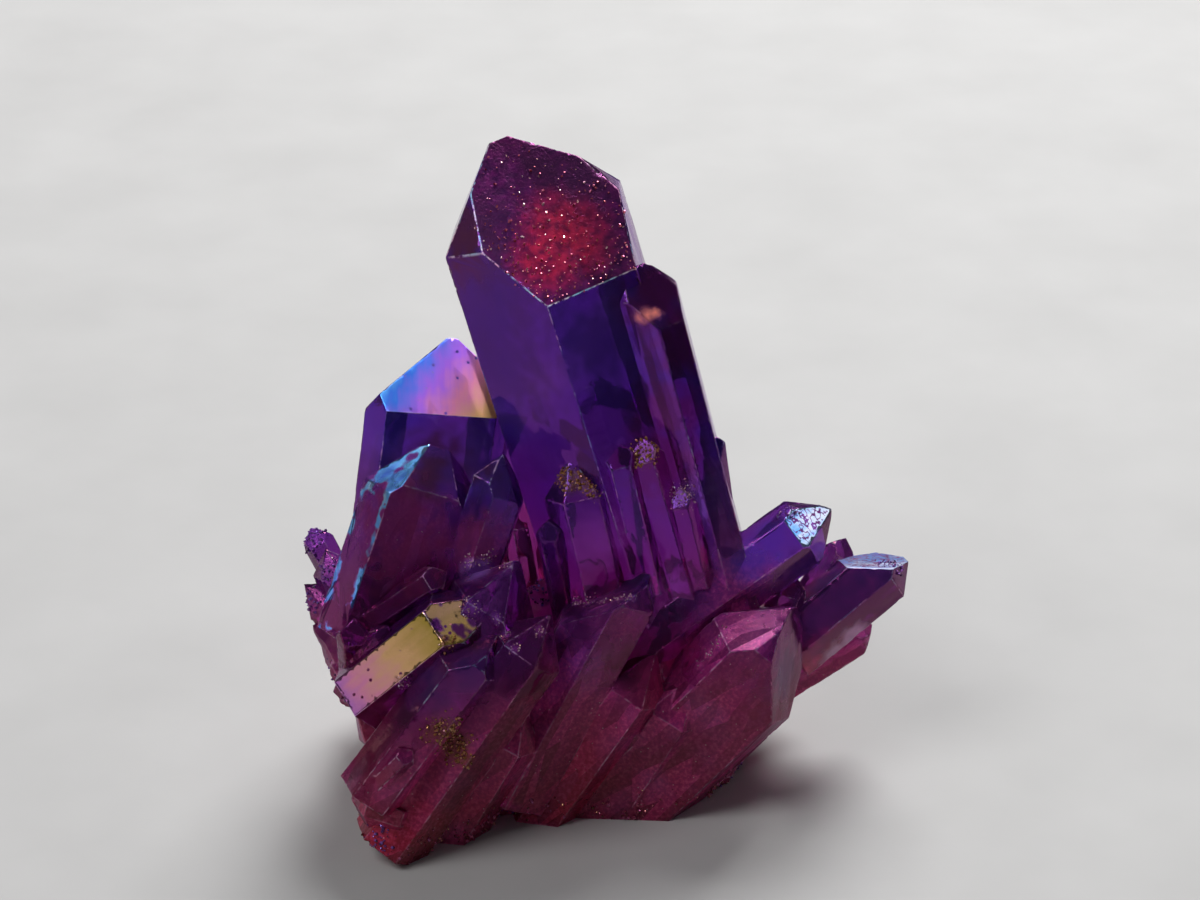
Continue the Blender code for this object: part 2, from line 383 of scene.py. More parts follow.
def inner_spots(flat, starts, ends, outward, chance):
    """The points inside a face: a shaken honeycomb, and a row just inside each outward edge."""
    step = step_of(flat)
    low, high = np.minimum(starts, ends).min(0), np.maximum(starts, ends).max(0)
    rows = np.arange(low[1], high[1] + step, step * math.sqrt(0.75))  # a honeycomb's rows lie this close
    columns = np.arange(low[0], high[0] + step, step)
    grid = np.array([(x + step / 2 * (row % 2), y) for row, y in enumerate(rows) for x in columns])
    grid += chance.uniform(-JITTER, JITTER, grid.shape) * step
    grid = grid[inside(grid, starts, ends)]
    off_rim = distances(grid, starts[outward], ends[outward]) >= step * KEEP_OFF + RIM
    grid = grid[off_rim & (distances(grid, starts, ends) > step * KEEP_OFF)]
    if not outward.any():
        return grid
    run = ends[outward] - starts[outward]
    side = np.stack((-run[:, 1], run[:, 0]), 1) / np.maximum(np.linalg.norm(run, axis=1), 1e-9)[:, None]
    middles = (starts[outward] + ends[outward]) / 2
    rim = np.concatenate((middles + side * RIM, middles - side * RIM))
    rim = rim[inside(rim, starts, ends)]
    rim = rim[distances(rim, starts, ends) > RIM * KEEP_OFF_CORNERS]
    return np.concatenate((rim, grid))


# %% [markdown]
# ## Triangles that fill an outline
# A constrained Delaunay triangulation joins all these points into triangles and keeps the outline's steps
# as edges. It also covers bays and holes in the outline, so only triangles inside it are kept. Where a
# crystal cuts a face in an awkward way the outline can touch itself. Then the result is found not to
# close, and the frame's own triangles are netted one by one.

# %% Fill an outline
MERGE = 1e-5
NO_AREA = 1e-7


def sides_of(triangle):
    a, b, c = triangle
    return frozenset((a, b)), frozenset((b, c)), frozenset((c, a))


def closes(faces, outline):
    """Whether these triangles fill the outline: each of its edges is used once, and any other twice."""
    uses = Counter(side for face in faces for side in sides_of(face))
    border = {frozenset((a, b)) for a, b, turn in outline}
    right = all(count == (1 if side in border else 2) for side, count in uses.items())
    return right and border <= set(uses)


def fill(spots, triangles, edges, starts, ends):
    """Those triangles that lie within the outline. They are judged in patches, bounded by the outline."""
    patch = list(range(len(triangles)))

    def patch_of(index):
        while patch[index] != index:
            patch[index] = patch[patch[index]]
            index = patch[index]
        return index

    border, seen = {frozenset(edge) for edge in edges}, {}
    for index, triangle in enumerate(triangles):
        for side in sides_of(triangle):
            if side not in border:
                patch[patch_of(index)] = patch_of(seen.setdefault(side, index))
    corners = spots[np.array(triangles)]
    one, other = corners[:, 1] - corners[:, 0], corners[:, 2] - corners[:, 0]
    area = np.abs(one[:, 0] * other[:, 1] - one[:, 1] * other[:, 0])
    vote = defaultdict(float)
    for index, within in enumerate(inside(corners.mean(1), starts, ends)):
        vote[patch_of(index)] += area[index] if within else -area[index]
    return [triangle for index, triangle in enumerate(triangles) if vote[patch_of(index)] > NO_AREA]


def net_outline(flat, outline, chance):
    """The triangles within an outline, over its own points and new ones inside it."""
    names = sorted({index for a, b, turn in outline for index in (a, b)})
    place = {name: spot for spot, name in enumerate(names)}
    edges = [(place[a], place[b]) for a, b, turn in outline]
    border = to_plane(flat, [net.points[name] for name in names])
    starts, ends = border[[a for a, b in edges]], border[[b for a, b in edges]]
    turns = np.array([turn for a, b, turn in outline])
    inner = inner_spots(flat, starts, ends, turns > SHARP_ANGLE, chance)
    spots = [Vector(spot) for spot in np.concatenate((border, inner))]
    made, _, triangles, origins, _, _ = delaunay_2d_cdt(spots, edges, [], 0, MERGE)
    if not all(origins):
        return None
    names += range(len(net.points), len(net.points) + len(inner))
    first = {origin: spot for spot, found in enumerate(origins) for origin in found}
    walls = [(first[a], first[b]) for a, b in edges]
    within = fill(np.array(made), triangles, walls, starts, ends)
    faces = [[names[min(origins[corner])] for corner in face] for face in within]
    if not closes(faces, outline):
        return None
    net.points += [Vector(point) for point in from_plane(flat, inner)]
    return faces


def net_triangles(flat, chance):
    """For a face whose outline touches itself: each of the frame's triangles is netted alone."""
    faces = []
    for triangle in flat.triangles:
        outline = [step for loop in triangle.loops for step in steps_of(loop)]
        made = net_outline(flat, outline, chance)
        if made is None:
            middle = len(net.points)
            net.points.append(triangle.calc_center_median())
            made = [[middle, a, b] for a, b, turn in outline]
        faces += made
    return faces


# %% Net every face
NET_SEED = 11
chance = np.random.default_rng(NET_SEED)
for flat in flats:
    made = net_outline(flat, flat.outline, chance) or net_triangles(flat, chance)
    net.faces += made
    net.flat += [flat.index] * len(made)
print(len(net.points), "points and", len(net.faces), "triangles")

# %% [markdown]
# ## Faces with a strong film
# On a few faces the metal film is thick enough to act as a coloured mirror. Those faces are smooth. They
# are found by a place near their middle. The plan of each says which way the colour runs (in degrees, from
# across its crystal towards along it), how strong the mirror is, and how bright its own small light is.

# %% Coloured mirrors
MIRRORS = {
    "twin cap": dict(at=(-12.2, 7.1, 29.1), run=-35, film=(0.88, 0.10), strength=1.0, watts=0.0),
    "golden side": dict(at=(-16.1, -10.7, 15.2), run=90, film=(0.50, 0.0), strength=0.95, watts=0.012),
    "golden cap": dict(at=(-11.5, -9.9, 18.4), run=0, film=(0.08, 0.0), strength=0.8, watts=0.013),
    "arm tip": dict(at=(15.1, 0.2, 21.0), run=90, film=(0.94, 1.0), strength=0.8, watts=0.045),
    "shoulder edge": dict(at=(-15.6, -1.6, 26.5), run=90, film=(0.86, 0.93), strength=0.9, watts=0.026),
    "shoulder flank": dict(at=(-18.9, -4.3, 20.4), run=90, film=(0.84, 0.92), strength=0.9, watts=0.022),
    "far arm cap": dict(at=(20.5, 2.5, 16.3), run=0, film=(0.88, 1.0), strength=0.55, watts=0.0),
}
LEAST_AREA = 1.5


def middle_of(flat):
    weighted = [(triangle.calc_center_median(), triangle.calc_area()) for triangle in flat.triangles]
    return sum((middle * area for middle, area in weighted), Vector()) / flat.area


middles = {flat.index: middle_of(flat) for flat in flats if flat.area > LEAST_AREA}


def face_near(place):
    """The flat face whose middle is nearest to a place in millimetres."""
    return flats[min(middles, key=lambda index: (middles[index] - Vector(place)).length)]


for plan in MIRRORS.values():
    plan["flat"] = face_near(plan["at"])
smooth_faces = {plan["flat"].index for plan in MIRRORS.values()}
for name, plan in MIRRORS.items():
    print(name, "is a face of", round(plan["flat"].area, 1), "square mm")

# %% [markdown]
# ## Wear, growth waves and broken rock
# Three things happen to the fine net. Points on outward edges move in a little, more where an edge is
# chipped, so each edge becomes a narrow rounded strip that catches light. Crystal faces get very low
# waves, because no grown face is a perfect mirror. The broken lump gets a rough surface, but only within
# the planes of the crystals that it touches, so they stay flat right up to it. Bumps in a material could
# hint at all this, but the outline would stay as sharp as a drawing, so the points themselves move.

# %% What each point touches
FAR = 3.0

points = np.array([tuple(point) for point in net.points])
faces = np.array(net.faces)
flat_of = np.array(net.flat)
touching = [set() for point in net.points]
for face, index in zip(net.faces, net.flat):
    for point in face:
        touching[point].add(index)
to_edge = np.full(len(points), FAR)
turn_at = np.zeros(len(points))
for flat in flats:
    flat.points = np.unique(faces[flat_of == flat.index])
    ends = to_plane(flat, points[[index for edge in flat.outline for index in edge[:2]]]).reshape(-1, 2, 2)
    turns = np.array([turn for a, b, turn in flat.outline])
    spots = to_plane(flat, points[flat.points])
    sharp = turns > SHARP_ANGLE
    to_edge[flat.points] = np.minimum(to_edge[flat.points], distances(spots, ends[sharp, 0], ends[sharp, 1]))
    for a, b, turn in flat.outline:
        turn_at[a], turn_at[b] = max(turn_at[a], turn), max(turn_at[b], turn)
print("a point is up to", round(float(to_edge[to_edge < FAR].max()), 1), "mm from the nearest edge")

# %% Depths of wear, ledges and rock
# Sizes and depths are in millimetres.
WORN = 0.62  # how far an edge moves in, as a share of RIM
CHIP_SIZE = 0.9
CHIP_FROM = 0.22  # noise above this is a chip
CHIP_DEPTH = 0.28
WAVE_SIZE = 2.6
WAVE = {"side": 0.012, "cap": 0.010, "broken": 0.30}
ROCK_SIZE = 1.9
ROCK_EVENNESS, ROCK_FINER, ROCK_LAYERS = 0.9, 2.1, 4  # each layer of bumps is 2.1 times as fine
LEDGE_WIDTH, LEDGE_LENGTH, LEDGE_DEPTH = 1.5, 5.5, 0.11
LEDGE_UNEVEN = 0.5, 1.6  # how far noise shifts the sides and the ends of a ledge
SMOOTH_ABOVE, SMOOTH_WITHIN, LEAST_LEDGE = 24.0, 8.0, 0.15
NOISE_TOP = 0.7


def noise_at(point, size, seed=0):
    """Smooth noise from about -NOISE_TOP to NOISE_TOP, with bumps of this size in millimetres."""
    return noise.noise(Vector(point) / size + Vector((seed * 17.3, seed * 5.9, -seed * 11.1)))


def rock_at(point):
    """Rough rock, with finer and finer bumps."""
    return noise.fractal(Vector(point) / ROCK_SIZE, ROCK_EVENNESS, ROCK_FINER, ROCK_LAYERS)


def ledge_at(flat, point):
    """How deep a side face is stepped back here: long low ledges, along the crystal, fewer higher up."""
    across, along = flat.plane @ point
    across += LEDGE_UNEVEN[0] * noise_at(point, 2.0, 12)
    along += LEDGE_UNEVEN[1] * noise_at(point, 1.4, 13)
    cell = noise.cell(Vector((across / LEDGE_WIDTH, along / LEDGE_LENGTH, flat.index * 1.7)))
    low_down = min(1.0, max(LEAST_LEDGE, (SMOOTH_ABOVE - point[2]) / SMOOTH_WITHIN))
    return LEDGE_DEPTH * low_down * max(0.0, cell)


deepest = CHIP_DEPTH * (NOISE_TOP + 0.5 * NOISE_TOP - CHIP_FROM)
print("a chip is up to about", round(deepest, 2), "mm deep")


# %% Move the points
def worn_depth(index):
    """How far an edge point moves in: a round profile, with chips here and there."""
    place = points[index]
    even = RIM * WORN * math.sin(turn_at[index] / 2) * (1 + noise_at(place, CHIP_SIZE * 2, 1))
    chip = max(0.0, noise_at(place, CHIP_SIZE, 2) + 0.5 * noise_at(place, CHIP_SIZE / 3, 3) - CHIP_FROM)
    return even + CHIP_DEPTH * chip


def rough_offset(index):
    """The waves or the roughness of the faces that a point touches, along their normals."""
    around = [flats[flat] for flat in touching[index]]
    crystal = [flat for flat in around if flat.kind != "broken"]
    broken = [flat for flat in around if flat.kind == "broken"]
    if len(crystal) > 1 or any(flat.is_base for flat in around):
        return Vector()
    if crystal and not broken:
        flat = crystal[0]
        stepped = flat.kind == "side" and flat.index not in smooth_faces
        wave = WAVE[flat.kind] * noise_at(points[index], WAVE_SIZE, 4)
        return flat.normal * (wave - (ledge_at(flat, points[index]) if stepped else 0))
    way = sum((flat.normal for flat in broken), Vector()).normalized()
    for flat in crystal:
        way -= flat.normal * way.dot(flat.normal)
    return way * WAVE["broken"] * rock_at(points[index])


moved = points.copy()
for index in range(len(points)):
    offset = rough_offset(index)
    if to_edge[index] == 0:
        out = sum((flats[flat].normal for flat in touching[index]), Vector()).normalized()
        on_base = any(flats[flat].is_base for flat in touching[index])
        offset -= out * (0 if on_base else worn_depth(index))
    moved[index] += offset
moved = np.clip(moved, np.array(cad_low) / MM, np.array(cad_high) / MM)
print("points moved by up to", round(float(np.linalg.norm(moved - points, axis=1).max()), 2), "mm")

# %% [markdown]
# ## One smooth-shaded mesh
# A clear crystal is one closed mesh, because light has to enter it and leave it. Each corner gets its
# own normal: the average over the triangles of the same crystal, large ones counting most. Faces so look
# flat, edges round, and clefts between crystals sharp.

# %% Corner normals and growth directions
def corner_normals():
    """For every corner of every triangle, its normal."""
    corners = moved[faces]
    cross = np.cross(corners[:, 1] - corners[:, 0], corners[:, 2] - corners[:, 0])
    weighted = cross * np.linalg.norm(cross, axis=1)[:, None]
    group = np.array([group_of(flat.index) for flat in flats])[flat_of]
    key = faces.astype(np.int64) * len(flats) + group[:, None]
    _, where = np.unique(key, return_inverse=True)
    where = where.reshape(-1)
    total = np.zeros((where.max() + 1, 3))
    np.add.at(total, where, np.repeat(weighted, 3, axis=0))
    total /= np.maximum(np.linalg.norm(total, axis=1), 1e-12)[:, None]
    return total[where]


def growth_map():
    """Millimetres across and along its crystal for every corner, for patterns that follow the growth."""
    planes = np.array([flat.plane for flat in flats])[flat_of]
    return np.einsum("fij,fkj->fki", planes, points[faces]).reshape(-1, 2)


# %% Build the mesh
def set_values(mesh, name, domain, values):
    """A named number for every point or face, for the materials to read."""
    mesh.attributes.new(name, "FLOAT", domain).data.foreach_set("value", np.asarray(values, np.float32))


def new_piece(name, mesh):
    """An object that is part of the cluster's one body."""
    piece = bpy.data.objects.new(name, mesh)
    scene.collection.objects.link(piece)
    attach(piece, "root")
    return piece


draw = random.Random(NET_SEED)
crystal_tone = {index: draw.random() for index in sorted(groups)}
surface = bpy.data.meshes.new("quartz_surface")
surface.from_pydata((moved * MM).tolist(), [], faces.tolist())
surface.polygons.foreach_set("use_smooth", np.ones(len(faces), bool))
surface.uv_layers.new(name="growth").data.foreach_set("uv", growth_map().reshape(-1))
set_values(surface, "edge", "POINT", to_edge)
set_values(surface, "crystal", "FACE", [crystal_tone[group_of(index)] for index in net.flat])
set_values(surface, "face_tone", "FACE", np.array([draw.random() for flat in flats])[flat_of])
is_broken = np.array([float(flat.kind == "broken") for flat in flats])
set_values(surface, "is_broken", "FACE", is_broken[flat_of])
surface.normals_split_custom_set(corner_normals())
quartz = new_piece("quartz", surface)
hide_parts(NODE)
print("the surface has", len(surface.polygons), "triangles")

# %% [markdown]
# ## The run of the film
# The film of a coloured mirror is thicker at one end than at the other, and its colour goes with it. So
# each corner of such a face gets a place in the run of film colours, from 0 for gold to 1 for pale blue.
# These values lie in the mesh, where the material reads them, so a colour stays on its own face.

# %% The colour of each mirror
KINDS_OF_FILM = {
    "satin": ("twin cap", "far arm cap"), "patchy": ("golden cap", "shoulder edge", "shoulder flank"),
    "strip": ("shoulder flank",), "wormed": ("arm tip", "far arm cap"),
}
mirror = np.zeros(len(flats))
film = np.full((len(faces), 3), 0.5)
for name, plan in MIRRORS.items():
    flat = plan["flat"]
    mirror[flat.index] = plan["strength"]
    chosen = flat_of == flat.index
    turn = math.radians(plan["run"])
    spots = to_plane(flat, points[faces[chosen]].reshape(-1, 3)) @ (math.cos(turn), math.sin(turn))
    share = (spots - spots.min()) / (spots.max() - spots.min())
    first, last = plan["film"]
    film[chosen] = (first + (last - first) * share).reshape(-1, 3)
set_values(surface, "film", "CORNER", film.reshape(-1))
set_values(surface, "mirror", "FACE", mirror[flat_of])
for kind, names in KINDS_OF_FILM.items():
    marked = [MIRRORS[name]["flat"].index for name in names]
    set_values(surface, kind, "FACE", np.isin(flat_of, marked).astype(float))
print("colour runs across", sum(film.min(1) < film.max(1)), "triangles")

# %% [markdown]
# ## Beds and tints
# Sugary druse grows in beds on some faces, and the tint of the coat differs from place to place. Some of
# the tints are painted light and shade instead: a glow seen through the crystal, shade, and glints and
# highlights on edges. Painting them would need a picture, and a picture has to be wrapped round the shape.
# Here they are balls instead, each with a middle and a radius in millimetres: what lies in a ball has the
# bed or the tint, strongest in the middle. Noise makes their edges ragged.

# %% Ragged balls
RAGGED = 0.55
RAGGED_SIZE = 0.8
FULL_WITHIN = 1.6  # a ball is at its full strength over the inner part of its radius
SHOWS = 0.3  # from this strength on, a bed or a tint is seen
ragged_noise = np.array([noise_at(point, RAGGED_SIZE, 6) for point in points])


def balls(*places, raggedness=RAGGED):
    """For every point, 1 at the middle of the nearest ball (x, y, z, radius), down to 0 at its edge."""
    best = np.full(len(points), -1.0)
    for x, y, z, radius in places:
        share = 1 - np.linalg.norm(points - (x, y, z), axis=1) / radius
        best = np.maximum(best, share)
    return np.clip(best * FULL_WITHIN + ragged_noise * raggedness * (best > 0), 0, 1)


# %% Beds of druse
BEDS = {
    "golden_bed": balls(
        (-3.4, -1.9, 26.6, 1.2), (-2.4, -2.6, 26.4, 1.5), (-1.4, -3.2, 26.0, 1.3),
        (-12.0, -13.8, 11.6, 1.7), (-11.2, -13.4, 9.9, 1.5), (-10.5, -13.6, 8.9, 1.0),
        (-11.6, -11.4, 17.4, 0.8), (-13.2, -1.0, 28.4, 1.0), (2.8, -1.6, 28.0, 1.3),
    ),
    "pale_bed": balls(
        (-10.2, -5.4, 20.9, 0.7), (-8.9, -5.1, 20.9, 0.8), (-7.4, -5.5, 20.9, 0.8),
        (-10.1, -9.4, 19.3, 0.9), (-8.1, -9.6, 18.6, 0.5), (-7.4, -10.3, 17.6, 0.5),
        (-6.8, -11.4, 17.0, 0.5), (-4.9, -10.1, 17.8, 0.5), (-2.2, -4.7, 16.9, 0.6), (-1.2, -5.7, 17.5, 0.6),
        (-0.3, -6.5, 18.1, 0.6), (0.8, -7.4, 18.8, 0.6), (1.7, -8.0, 19.3, 0.6), (-15.0, -11.6, 14.1, 0.7),
        (6.9, -7.1, 12.9, 0.5), (7.6, -6.9, 13.8, 0.5), (8.3, -6.7, 14.7, 0.5),
        (9.0, -6.0, 15.2, 0.5), (19.4, 1.2, 15.6, 0.5), (20.4, 1.0, 15.8, 0.5), (21.6, 1.0, 16.0, 0.5),
        (5.5, -2.1, 24.6, 1.2),
    ),
    "violet_bed": balls(
        (-22.4, -1.0, 14.6, 1.6), (-22.5, 2.0, 18.6, 1.6), (-20.9, -1.6, 17.6, 1.2),
        (13.6, 0.4, 21.9, 1.0), (21.5, 1.6, 17.0, 1.6), (-16.8, -14.6, 2.4, 1.6), (-16.9, -13.8, 1.0, 1.4),
    ),
}
print("points in each bed:", {name: int((values > SHOWS).sum()) for name, values in BEDS.items()})

# %% Tints of the coat, and painted light and shade
TINTS = {
    # Painted glow: light coming up through the red cap, painted as a brighter red in its middle.
    "ember": balls((-3.0, 5.0, 43.4, 4.2), (-4.4, 2.6, 42.0, 3.4), (-1.8, 3.6, 42.8, 3.0), raggedness=0.2),
    # Painted glow: violet light seen through the crystals, painted as a pale violet.
    "glow": balls(
        (3.6, -5.0, 17.4, 2.8), (8.6, 0.5, 24.0, 4.0), (-1.0, -3.6, 22.0, 2.6), (-9.6, -5.4, 19.6, 1.6),
    ),
    "frost": balls(
        (6.6, -8.6, 6.8, 8.0), (9.4, -6.6, 14.6, 4.6), (10.0, -3.6, 17.2, 4.5), (0.4, -7.4, 17.6, 3.0),
        (-2.4, -9.6, 9.0, 6.0), (-11.0, -13.4, 8.0, 5.0), (-15.3, -3.9, 23.0, 5.5), (-9.0, -4.6, 21.6, 3.6),
        (-3.0, -8.0, 14.0, 4.0), (-7.5, -12.0, 11.0, 4.0),
    ),
    # Painted shade: dark patches on the red cap, on the shoulder and in a few other places.
    "dusk": balls(
        (-12.8, -1.9, 27.4, 3.0), (-13.4, -2.4, 26.0, 2.2), (-8.6, -2.0, 26.4, 2.2), (-10.4, 4.2, 43.1, 4.5),
        (-1.6, 9.2, 45.8, 3.6), (-4.6, 9.0, 46.4, 2.6), (-10.4, -10.6, 17.9, 2.2), (-13.0, 5.0, 24.0, 4.0),
        (-2.2, -3.0, 26.2, 1.6),
    ),
    # Painted shade: the darkest places, high on the main crystal, on the far arm and in a few others, painted
    # nearly black.
    "night": balls(
        (-9.6, 2.2, 39.0, 10.0), (-8.6, 1.4, 34.0, 7.0), (-0.6, -0.6, 36.6, 4.6), (-12.4, -12.4, 14.2, 2.8),
        (-10.0, -12.4, 15.6, 2.2), (21.0, 1.0, 15.0, 6.0), (18.6, -0.6, 14.6, 6.0), (16.0, -1.0, 13.0, 4.4),
        (-17.4, 3.0, 23.0, 4.0), (13.4, -6.0, 12.0, 3.0),
    ),
    "blue": balls(
        (12.4, -1.4, 20.6, 2.6), (10.6, -2.2, 19.4, 2.2), (14.0, -0.4, 20.6, 2.0), (9.0, 0.0, 28.0, 2.4),
    ),
    "claret": balls(
        (-14.6, -4.7, 20.4, 5.4), (-15.3, -3.9, 24.0, 4.4), (-9.8, -4.4, 22.4, 3.4), (5.4, 0.4, 36.0, 3.6),
        (4.6, -0.6, 31.0, 3.4), (4.0, -1.4, 27.0, 4.4), (2.6, 1.0, 38.6, 2.6), (3.9, 3.1, 39.2, 3.4),
        (12.4, -6.6, 9.6, 4.0),
    ),
    # Painted highlight: small bright coral glints high on a cap and on the shoulder's top edge.
    "coral": balls(
        (2.3, 0.8, 37.8, 0.7), (2.9, 1.1, 38.0, 0.7), (3.5, 1.3, 38.0, 0.6), (-13.2, -1.0, 28.3, 0.8),
        raggedness=0.3,
    ),
    "pale": balls((18.9, -1.0, 11.5, 1.7), (17.4, -1.4, 10.4, 1.5)),
    # Painted highlight: edges drawn as lit, through the band of the worn edges.
    "lit_edge": balls(
        (19.4, 1.2, 15.6, 1.4), (20.6, 1.0, 15.9, 1.4), (21.8, 1.0, 16.0, 1.4), (8.8, -6.1, 15.2, 1.6),
        (7.4, -6.9, 13.4, 1.5), (-1.7, -5.2, 17.2, 1.3), (-0.3, -6.5, 18.1, 1.3), (1.2, -7.7, 19.0, 1.3),
    ),
}
print("points in each tint:", {name: int((values > SHOWS).sum()) for name, values in TINTS.items()})

# %% The red cap, the foot, and all of it into the mesh
FOOT_TOP, FOOT_FADE = 3.2, 3.0  # mm: where the druse of the foot ends, and over how much it thins out
red_bed = face_near((-4.3, 5.6, 43.7))
main_side = face_near((-5.5, -0.1, 30.0))
BEDS["golden_bed"][main_side.points] = 0
# All edges of the red cap get painted highlights.
TINTS["lit_edge"][red_bed.points] = 1.0
rising = np.clip((FOOT_TOP - points[:, 2]) / FOOT_FADE, 0, 1)
BEDS["foot_bed"] = rising * np.clip([0.5 + 2 * noise_at(point, 1.6, 9) for point in points], 0, 1)
for name, values in {**BEDS, **TINTS}.items():
    set_values(surface, name, "POINT", values)
set_values(surface, "red_bed", "FACE", (flat_of == red_bed.index).astype(float))
print("the mesh has", len(surface.attributes), "sets of values")

# %% [markdown]
# ## Nodes written as sums
# Both the druse and the finishes are trees of nodes. Added one by one in a script, a tree takes many lines
# and is hard to read. So a small class stands for what comes out of a node. It knows plus, minus and
# times, and a tree then reads like a formula.

# %% A short way to add nodes
class Value:
    """What comes out of a node. Values can be added, subtracted and multiplied."""

    def __init__(self, nodes, socket):
        self.nodes, self.socket = nodes, socket

    def __add__(self, other):
        return self.nodes.math("ADD", self, other)

    __radd__ = __add__

    def __sub__(self, other):
        return self.nodes.math("SUBTRACT", self, other)

    def __mul__(self, other):
        return self.nodes.math("MULTIPLY", self, other)

    def __pow__(self, other):
        return self.nodes.math("POWER", self, other)

    def __abs__(self):
        return self.nodes.math("ABSOLUTE", self, 0.0)

    def clamped(self):
        """This sum, difference or product, held between 0 and 1."""
        self.socket.node.use_clamp = True
        return self

    def ranged(self, low, high, to_low=0.0, to_high=1.0):
        """to_low where this is low, to_high where it is high, and even steps between."""
        return self.nodes.add(
            "ShaderNodeMapRange", Value=self, From_Min=low, From_Max=high, To_Min=to_low, To_Max=to_high,
        )


class Nodes:
    """A tree of nodes, with a short way to add one."""

    def __init__(self, tree):
        self.tree = tree

    def join(self, value, socket):
        """Links a value to an input, or each of a list of them, or writes a plain number into it."""
        if isinstance(value, list):
            for part in value:
                self.join(part, socket)
        elif isinstance(value, Value):
            self.tree.links.new(value.socket, socket)
        else:
            socket.default_value = (*value, 1.0) if socket.type == "RGBA" else value

    def add(self, kind, output=0, settings=None, **inputs):
        """An output of a new node. Inputs go by name, with _ for a space, or by number, as in _0."""
        node = self.tree.nodes.new(kind)
        for name, value in (settings or {}).items():
            setattr(node, name, value)
        for name, value in inputs.items():
            self.join(value, node.inputs[int(name[1:]) if name[0] == "_" else name.replace("_", " ")])
        return Value(self, node.outputs[output])

    def math(self, operation, first, second):
        return self.add("ShaderNodeMath", 0, {"operation": operation}, _0=first, _1=second)


# %% [markdown]
# ## Druse: the tiny crystals
# A druse is a crust of crystals, each a tenth of a millimetre or so across. There are thousands, all of
# one form, so Geometry Nodes scatter them: points on the triangles of a bed, and on each point a small
# six-sided prism with a pointed cap, turned and tilted at random. Bumps in the material would be cheaper,
# but every real crystal has flat faces, and a few of them always catch the light.

# %% The druse tree
DRUSE_CAP = 0.6  # the height of a crystal's cap, as a share of its width
SQUARE_MM = 1e6  # in a square metre
MOSTLY_SMALL = 2.5
DRUSE_INPUTS = {
    "Bed": ("NodeSocketGeometry", None), "Crystals per square mm": ("NodeSocketFloat", 4.0),
    "Smallest": ("NodeSocketFloat", 0.06), "Largest": ("NodeSocketFloat", 0.2),
    "Tilt": ("NodeSocketFloat", 0.6), "Seed": ("NodeSocketInt", 1), "Finish": ("NodeSocketMaterial", None),
}


def druse_tree():
    """Scatters small crystals over a mesh, as densely as its point values "amount" say."""
    tree = bpy.data.node_groups.new("druse", "GeometryNodeTree")
    nodes, sockets = Nodes(tree), {}
    for name, (kind, value) in DRUSE_INPUTS.items():
        socket = tree.interface.new_socket(name, in_out="INPUT", socket_type=kind)
        if value is not None:
            socket.default_value = value
        sockets[name] = socket.identifier
    tree.interface.new_socket("Druse", in_out="OUTPUT", socket_type="NodeSocketGeometry")
    entry = [Value(nodes, socket) for socket in tree.nodes.new("NodeGroupInput").outputs]
    bed, per_square_mm, smallest, largest, tilt, seed, finish = entry[:len(DRUSE_INPUTS)]

    add, open_ends = nodes.add, {"fill_type": "NONE"}
    amount = add("GeometryNodeInputNamedAttribute", "Attribute", {"data_type": "FLOAT"}, Name="amount")
    density = per_square_mm * SQUARE_MM * amount
    spots = add("GeometryNodeDistributePointsOnFaces", "Points", Mesh=bed, Density=density, Seed=seed)
    upright = Value(nodes, spots.socket.node.outputs["Rotation"])
    cap_size = dict(Radius_Top=0.0, Radius_Bottom=0.5, Depth=DRUSE_CAP)
    cap = add("GeometryNodeMeshCone", "Mesh", open_ends, Vertices=6, **cap_size)
    raised = add("GeometryNodeTransform", Geometry=cap, Translation=(0, 0, 0.5))
    prism = add("GeometryNodeMeshCylinder", "Mesh", open_ends, Vertices=6, Radius=0.5, Depth=1.0)
    crystal = add("GeometryNodeJoinGeometry", Geometry=[raised, prism])
    low = add("ShaderNodeCombineXYZ", X=tilt * -1.0, Y=tilt * -1.0, Z=0.0)
    high = add("ShaderNodeCombineXYZ", X=tilt, Y=tilt, Z=math.tau)
    turn = add("FunctionNodeRandomValue", 0, {"data_type": "FLOAT_VECTOR"}, _0=low, _1=high, Seed=seed)
    spin = add("FunctionNodeEulerToRotation", Euler=turn)
    turned = add("FunctionNodeRotateRotation", 0, {"rotation_space": "LOCAL"}, Rotation=upright, _1=spin)
    roll = add("FunctionNodeRandomValue", 1, {"data_type": "FLOAT"}, _2=0.0, _3=1.0, Seed=seed)
    width = (roll ** MOSTLY_SMALL).ranged(0.0, 1.0, smallest, largest)
    placed = add(
        "GeometryNodeInstanceOnPoints", Points=spots, Instance=crystal, Rotation=turned, Scale=width * MM,
    )
    made = add("GeometryNodeRealizeInstances", Geometry=placed)
    flat_shaded = add("GeometryNodeSetShadeSmooth", Geometry=made, Shade_Smooth=False)
    finished = add("GeometryNodeSetMaterial", Geometry=flat_shaded, Material=finish)
    nodes.join(finished, tree.nodes.new("NodeGroupOutput").inputs[0])
    return tree, sockets


druse, druse_sockets = druse_tree()
print("the druse tree has", len(druse.nodes), "nodes")

# %% Growing one druse
LEAST_AMOUNT = 0.02
above_base = np.array([not flat.is_base for flat in flats])[flat_of]


